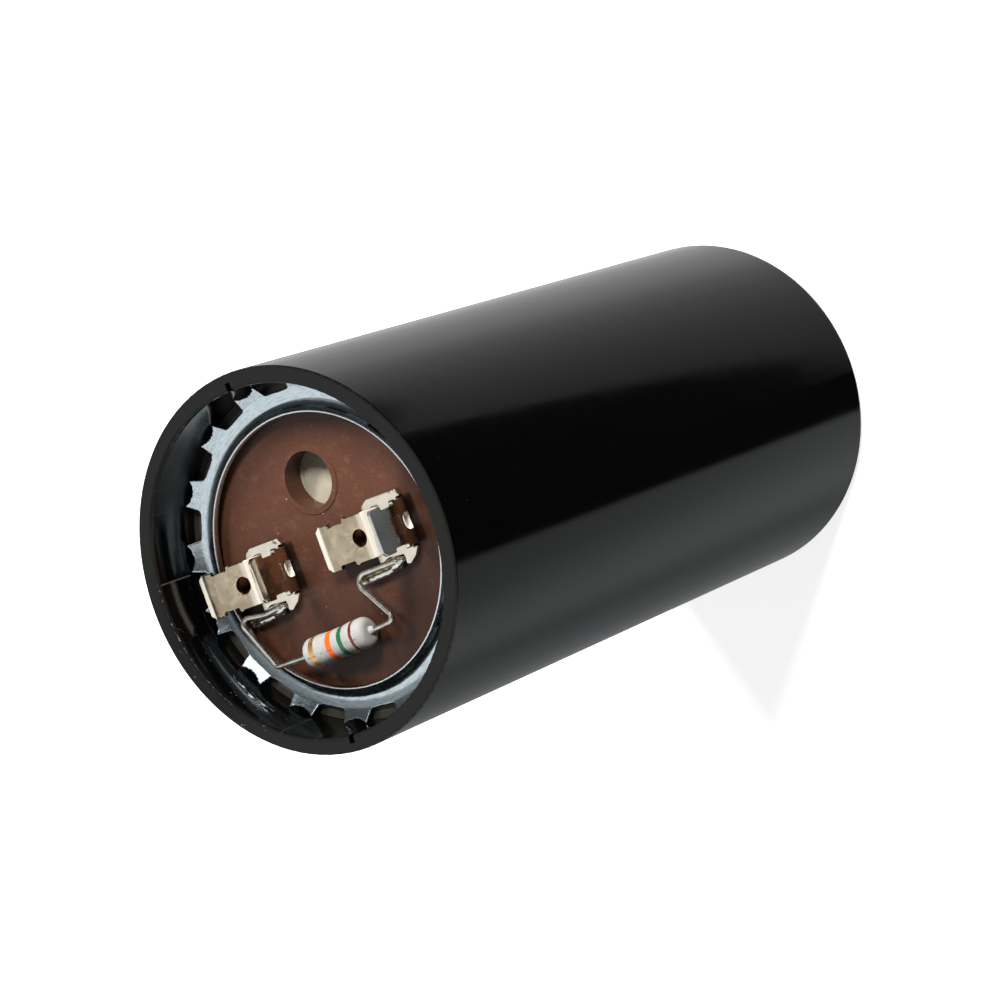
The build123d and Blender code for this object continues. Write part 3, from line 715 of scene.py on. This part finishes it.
class CAPACITOR_OT_terminals(bpy.types.Operator):
    """Make the terminals with rounded edges, soft press marks and bowed uprights"""
    bl_idname = "capacitor.terminals"
    bl_label = "Terminals"

    def execute(self, context):
        look = context.scene.capacitor_look
        tinned = terminal_finish(look)
        for side, (face_x, centre_y, rise) in STRIPS.items():
            mesh = softened(side + "_strip", joined_copy(side + "_terminal"), look.tab_grain, 3)
            self.press(mesh, face_x, centre_y, rise)
            push(mesh, self.unevenness(face_x, centre_y))
            finished_piece(side + "_terminal_strip", mesh, tinned, side + "_terminal")
            dress(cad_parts[side + "_rivet"], tinned)
        return {"FINISHED"}

    def press(self, mesh, face_x, centre_y, rise):
        """Softens the marks on the side tab's top and the upright's face, and bows the upright."""
        for vertex in mesh.vertices:
            x, y, z = vertex.co / MM
            inward, across = x - face_x, y - centre_y
            top = SIDE_TAB_TOP - rise * (inward - SIDE_TAB_START)
            if inward < -6.6 and z > top - 0.35:
                # the mark becomes a low round swelling, and the tip's bevel is eased
                away = math.hypot(inward - PRESS_MARK, across * 0.85)
                on_mark = 1.0 - step_up(away, 2.3, 2.6)
                swell = 0.04 * (1.0 - step_up(away, 0.7, 2.1))
                z += on_mark * (top + swell - z)
                if inward < -13.2:
                    z += 0.45 * (top - z) * (1.0 - step_up(abs(across), 2.6, 3.1))
            # hollows in the upright's face become shallower, most of all near its tip
            if inward > -0.5 and z > PLATE_TOP + 2.2 and abs(across) < 1.6:
                x = face_x + 0.5 * min(inward, 0.0)
            if inward > -0.35 and z > PLATE_TOP + 6.3 and abs(across) < 2.9:
                x = face_x + 0.3 * min(inward, 0.0)
            # the lower ear reaches under the lead that is soldered to it
            if across < -EAR_START and z < PLATE_TOP + 0.3:
                y -= 0.35 * (-across - EAR_START)
            # the upright bows out a little, then back towards its tip
            if inward > -1.6 and z > PLATE_TOP:
                x += 0.25 * step_up(z, 103.0, 105.6) - 0.085 * max(z - 106.0, 0.0)
            vertex.co = Vector((x, y, z)) * MM

    def unevenness(self, face_x, centre_y):
        """How far the tinned surface stands out of the plain strip at a point."""
        def height(point):
            inward, across = point.x - face_x, abs(point.y - centre_y)
            wave = 0.015 * lumps.noise(point * 0.6)
            low = 1.0 - step_up(point.z, PLATE_TOP + 0.3, PLATE_TOP + 0.6)
            on_ear = step_up(across, 3.2, 3.7) * low
            far_end = step_up(inward, -2.5, -1.8) * step_up(point.y - centre_y, 2.8, 3.3)
            pits = 0.1 * lumps.noise(point * 1.5)
            return wave + on_ear * (0.02 * lumps.noise(point * 1.1) + far_end * pits)
        return height


class CAPACITOR_OT_resistor(bpy.types.Operator):
    """Finish the bleed resistor and its leads, and make the soldered joints with their flux"""
    bl_idname = "capacitor.resistor"
    bl_label = "Resistor"

    def execute(self, context):
        look = context.scene.capacitor_look
        dress(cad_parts["resistor_body"], lacquer_finish(look))
        wire = tinned_finish("lead_tin", look.lead_colour, look.lead_roughness)
        solder = tinned_finish("joint_solder", look.solder_colour, 0.1)
        flux = flux_finish(look)
        # for each side: the groove between the lead and its tail, then the tail
        joints = {"left": ((-17.0, -5.85), (-11.9, -5.5), (-16.7, -6.25), (-11.6, -5.95)),
                  "right": ((4.0, -5.2), (9.9, -4.85), (4.4, -5.73), (10.2, -5.3))}
        for side, (groove_start, groove_end, tail_start, tail_end) in joints.items():
            dress(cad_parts["resistor_" + side + "_lead"], wire)
            self.solder_joint(side, tail_start, tail_end, solder)
            self.flux_run(side, groove_start, groove_end, flux)
        return {"FINISHED"}

    def beads(self, shape, start, end, height, count, radius):
        """Adds overlapping balls from start to end, in millimetres; radius is of the share done."""
        for step in range(count):
            share = step / (count - 1)
            x, y = (a + (b - a) * share for a, b in zip(start, end))
            size = radius(share) * (1.0 + 0.2 * lumps.noise(Vector((x * 1.3, y, 2.0))))
            place = Matrix.Translation(Vector((x, y, height)) * MM)
            bmesh.ops.create_icosphere(shape, subdivisions=3, radius=size * MM, matrix=place)

    def solder_joint(self, side, start, end, material):
        """The mound on the ear, with solder along the tail and a cap over the bend of the hook."""
        shape = joined_copy(side + "_solder")
        self.beads(shape, start, end, TAIL_SOLDER, 24,
                   lambda share: 0.42 + 0.2 * math.sin(math.pi * share ** 0.5))
        self.beads(shape, (end[0] - 0.9, end[1] + 0.15), (end[0] + 0.75, end[1] + 0.75), HOOK_SOLDER, 16,
                   lambda share: 0.5 + 0.14 * math.sin(math.pi * share))
        mesh = softened(side + "_mound", shape, 0.00007, 6)
        push(mesh, lambda point: 0.03 * lumps.noise(point * 1.6))
        finished_piece(side + "_solder_joint", mesh, material, side + "_solder")

    def flux_run(self, side, start, end, material):
        """Flux that has run into the groove between the lead and its tail."""
        shape = bmesh.new()
        self.beads(shape, start, end, DRIED_FLUX, 24,
                   lambda share: 0.37 * (0.6 + 0.4 * step_up(share, 0.0, 0.25)))
        mesh = softened(side + "_flux_start", shape, 0.00006, 3)
        finished_piece(side + "_flux", mesh, material)


class CAPACITOR_OT_inside(bpy.types.Operator):
    """Finish what the can holds: roll, sleeve, disc, pad, straps and washers"""
    bl_idname = "capacitor.inside"
    bl_label = "Inner pieces"

    def execute(self, context):
        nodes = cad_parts
        dress(nodes["winding"], plain_finish("winding_edge", (0.62, 0.54, 0.38), (0.72, 0.72, 0.70),
                                             0.5, 0.8, (3.0, 3.0, 0.2)))
        dress(nodes["winding_wrap"], plain_finish("kraft_paper", (0.58, 0.46, 0.30),
                                                  (0.50, 0.38, 0.24), 0.7, 2.0, (1.0, 1.0, 0.3)))
        board = plain_finish("pressed_board", (0.42, 0.33, 0.22), (0.34, 0.26, 0.17), 0.75, 3.0)
        dress(nodes["insulating_disc"], board)
        dress(nodes["bottom_pad"], board)
        foil = plain_finish("strap_foil", (0.80, 0.80, 0.81), (0.70, 0.70, 0.72), 0.3, 4.0,
                            (1.0, 6.0, 1.0), 1.0)
        zinc = plain_finish("washer_zinc", (0.60, 0.62, 0.64), (0.50, 0.52, 0.55), 0.35, 3.0,
                            (1.0, 1.0, 1.0), 1.0)
        for side in ("left", "right"):
            dress(nodes[side + "_strap"], foil)
            dress(nodes[side + "_washer"], zinc)
        return {"FINISHED"}


def soft_light(name, direction, distance, size, power, tint):
    """A square area light, aimed at the can near its open end, that stays out of sight."""
    lamp = bpy.data.lights.new(name, "AREA")
    lamp.shape, lamp.size, lamp.energy, lamp.color = "SQUARE", size, power, tint
    made = bpy.data.objects.new(name, lamp)
    made.location = Vector((0.0, 0.0, 0.09)) + direction.normalized() * distance
    made.rotation_euler = direction.to_track_quat("Z", "Y").to_euler()
    made.visible_camera = made.visible_glossy = False
    bpy.context.collection.objects.link(made)


def glow(name):
    """A material that only gives off light; returns it with its tree and its Emission inputs."""
    material = bpy.data.materials.new(name)
    material.use_nodes = True
    tree = material.node_tree
    tree.nodes.clear()
    shine = add_node(tree, "ShaderNodeEmission")
    add_node(tree, "ShaderNodeOutputMaterial", {"Surface": shine.outputs[0]})
    return material, tree, shine.inputs


def reflected_only(obj):
    """Keeps a stage piece out of sight, except in reflections."""
    obj.visible_camera = obj.visible_diffuse = obj.visible_shadow = obj.visible_transmission = False


def seen_directly(tree):
    """1 for what the camera sees, also in a mirror or through glass, and 0 for diffuse light."""
    paths = add_node(tree, "ShaderNodeLightPath").outputs
    seen = larger(tree, paths["Is Camera Ray"], paths["Is Glossy Ray"])
    return larger(tree, seen, paths["Is Transmission Ray"])


class CAPACITOR_OT_stage(bpy.types.Operator):
    """Make the floor, the light and the camera"""
    bl_idname = "capacitor.stage"
    bl_label = "Stage"

    def execute(self, context):
        stage = context.scene.capacitor_stage
        self.make_floor(stage)
        self.make_surroundings()
        self.make_panel()
        self.make_world(context.scene, stage)
        for name, lateral, raised in (("left_key", -0.66, 0.82), ("right_key", 0.25, 1.0)):
            soft_light(name, SIDEWAYS * lateral + OVERHEAD * raised + ALONG, 0.8, 0.16,
                       stage.key_power, (1.0, 0.98, 0.96))
        soft_light("back_light", SIDEWAYS * -0.3 + OVERHEAD * 0.8 - ALONG * 0.5, 0.9, 0.7,
                   stage.back_power, (1.0, 1.0, 1.0))
        self.make_camera(context.scene, stage)
        return {"FINISHED"}

    def make_floor(self, stage):
        """A pale floor under the closed end; it shows white with the object's soft shadow."""
        shape = bmesh.new()
        bmesh.ops.create_grid(shape, x_segments=1, y_segments=1, size=stage.floor_size / 2)
        floor = placed("floor", shape)
        material, tree, _ = new_finish("floor_paper", Base_Color=(0.85, 0.85, 0.85, 1.0), Roughness=0.9,
                                       Specular_IOR_Level=0.0)
        shine = add_node(tree, "ShaderNodeEmission", {"Strength": 0.8})
        unlit = add_node(tree, "ShaderNodeMixShader", {0: seen_directly(tree), 2: shine.outputs[0]})
        paper = tree.nodes["Principled BSDF"].outputs[0]
        both = add_node(tree, "ShaderNodeAddShader", {0: paper, 1: unlit.outputs[0]})
        tree.links.new(both.outputs[0], tree.nodes["Material Output"].inputs["Surface"])
        dress(floor, material)
        floor.visible_glossy = False

    def make_surroundings(self):
        """What gloss and metal show: a pale table below, a soft light overhead, dark elsewhere."""
        shape = bmesh.new()
        bmesh.ops.create_uvsphere(shape, u_segments=48, v_segments=24, radius=3.0)
        dome = placed("surroundings", shape)
        material, tree, sockets = glow("surroundings_glow")
        place = add_node(tree, "ShaderNodeTexCoord").outputs["Object"]
        unit = add_node(tree, "ShaderNodeVectorMath", {0: place}, operation="NORMALIZE").outputs[0]
        height, ahead, aside = (dot(tree, unit, way) for way in (OVERHEAD, ALONG, SIDEWAYS))
        # the table: pale in front, dimmer behind, and dimmest where the can shades it
        dim = ramp(tree, aside, 0.08, 0.34, 0.23, 0.46)
        dim = minus(tree, dim, ramp(tree, aside, 0.38, 0.6, 0.0, 0.14))
        front = ramp(tree, ahead, -0.5, 0.3)
        table = plus(tree, times(tree, front, 0.95), times(tree, minus(tree, 1.0, front), dim))
        level = times(tree, ramp(tree, height, -0.13, -0.08, 1.0, 0.0), table)
        # pale wall behind and to the left, above the table
        wall = times(tree, ramp(tree, aside, -0.1, -0.5), ramp(tree, ahead, -0.2, -0.5),
                     ramp(tree, height, -0.22, -0.05), ramp(tree, height, 0.5, 0.0, 0.3, 0.68))
        level = larger(tree, level, wall)
        # the soft light over the open end
        lamp = dot(tree, unit, (SIDEWAYS * -0.02 + OVERHEAD * 0.57 + ALONG * 0.82).normalized())
        level = larger(tree, level, ramp(tree, lamp, 0.963, 0.982, 0.0, 2.6))
        # the room in front: dim, and a little paler to the left
        room = ramp(tree, ahead, -0.2, 0.3, 0.010, 0.10)
        left = times(tree, ramp(tree, aside, 0.0, -0.7, 0.0, 0.26), ramp(tree, height, 0.45, 0.1),
                     ramp(tree, ahead, 0.3, 0.6))
        level = larger(tree, level, plus(tree, room, left))
        tree.links.new(level, sockets["Strength"])
        sockets["Color"].default_value = (0.95, 0.98, 1.0, 1.0)
        dress(dome, material)
        reflected_only(dome)

    def make_panel(self):
        """A pale panel overhead that the barrel reflects, brighter to the left and behind."""
        height = 0.4
        # its corners, in multiples of its height: to the side and along the can
        corners = ((0.28, -0.95), (3.5, -6.2), (-6.0, -6.2), (-6.0, -0.95))
        shape = bmesh.new()
        shape.faces.new([shape.verts.new((SIDEWAYS * x + OVERHEAD + ALONG * z) * height)
                         for x, z in corners])
        panel = placed("overhead_panel", shape)
        material, tree, sockets = glow("panel_glow")
        place = add_node(tree, "ShaderNodeTexCoord").outputs["Object"]
        depth = plus(tree, dot(tree, place, SIDEWAYS * -0.6425 - ALONG * 0.35), 0.154)
        level = larger(tree, maths(tree, "MINIMUM", depth, 0.64), 0.05)
        tree.links.new(level, sockets["Strength"])
        dress(panel, material)
        reflected_only(panel)

    def make_world(self, scene, stage):
        """White behind the object and in its reflections; a soft fill everywhere else."""
        scene.world = bpy.data.worlds.new("studio")
        scene.world.use_nodes = True
        tree = scene.world.node_tree
        level = ramp(tree, seen_directly(tree), 0.0, 1.0, stage.fill, 1.0)
        background = tree.nodes["Background"]
        background.inputs["Color"].default_value = (1.0, 1.0, 1.0, 1.0)
        tree.links.new(level, background.inputs["Strength"])

    def make_camera(self, scene, stage):
        """The photograph's view: from beside and above the open end."""
        lens = bpy.data.cameras.new("camera")
        lens.lens, lens.sensor_width = stage.lens, 36.0
        lens.clip_start, lens.clip_end = 0.01, 20.0
        camera = bpy.data.objects.new("camera", lens)
        right = Vector((0.75671, -0.34283, -0.55666))
        up = Vector((0.27365, 0.93939, -0.20655))
        back = Vector((0.59373, 0.00397, 0.80466))
        turn = Matrix((right, up, back)).transposed()
        place = (0.26719, 0.0, 0.42544)
        camera.matrix_world = Matrix.Translation(place) @ turn.to_4x4()
        bpy.context.collection.objects.link(camera)
        scene.camera = camera
        scene.view_settings.view_transform = "Standard"


OPERATORS = (CAPACITOR_OT_case, CAPACITOR_OT_closure, CAPACITOR_OT_terminals, CAPACITOR_OT_resistor,
             CAPACITOR_OT_inside, CAPACITOR_OT_stage)


class CAPACITOR_PT_panel(bpy.types.Panel):
    """Lists the capacitor's settings and pieces"""
    bl_idname = "CAPACITOR_PT_panel"
    bl_label = "Motor start capacitor"
    bl_space_type = "VIEW_3D"
    bl_region_type = "UI"
    bl_category = "Capacitor"

    def draw(self, context):
        for group in (context.scene.capacitor_look, context.scene.capacitor_stage):
            for name in group.bl_rna.properties.keys():
                if name not in ("rna_type", "name"):
                    self.layout.prop(group, name)
        for operator in OPERATORS:
            self.layout.operator(operator.bl_idname)


CLASSES = (CapacitorLook, CapacitorStage, *OPERATORS, CAPACITOR_PT_panel)


def register():
    for cls in CLASSES:
        bpy.utils.register_class(cls)
    bpy.types.Scene.capacitor_look = PointerProperty(type=CapacitorLook)
    bpy.types.Scene.capacitor_stage = PointerProperty(type=CapacitorStage)


def unregister():
    del bpy.types.Scene.capacitor_stage
    del bpy.types.Scene.capacitor_look
    for cls in reversed(CLASSES):
        bpy.utils.unregister_class(cls)


def main():
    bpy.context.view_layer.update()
    register()
    bpy.ops.capacitor.case()
    bpy.ops.capacitor.closure()
    bpy.ops.capacitor.terminals()
    bpy.ops.capacitor.resistor()
    bpy.ops.capacitor.inside()
    bpy.ops.capacitor.stage()
    bpy.context.view_layer.update()


if __name__ == "__main__":
    main()
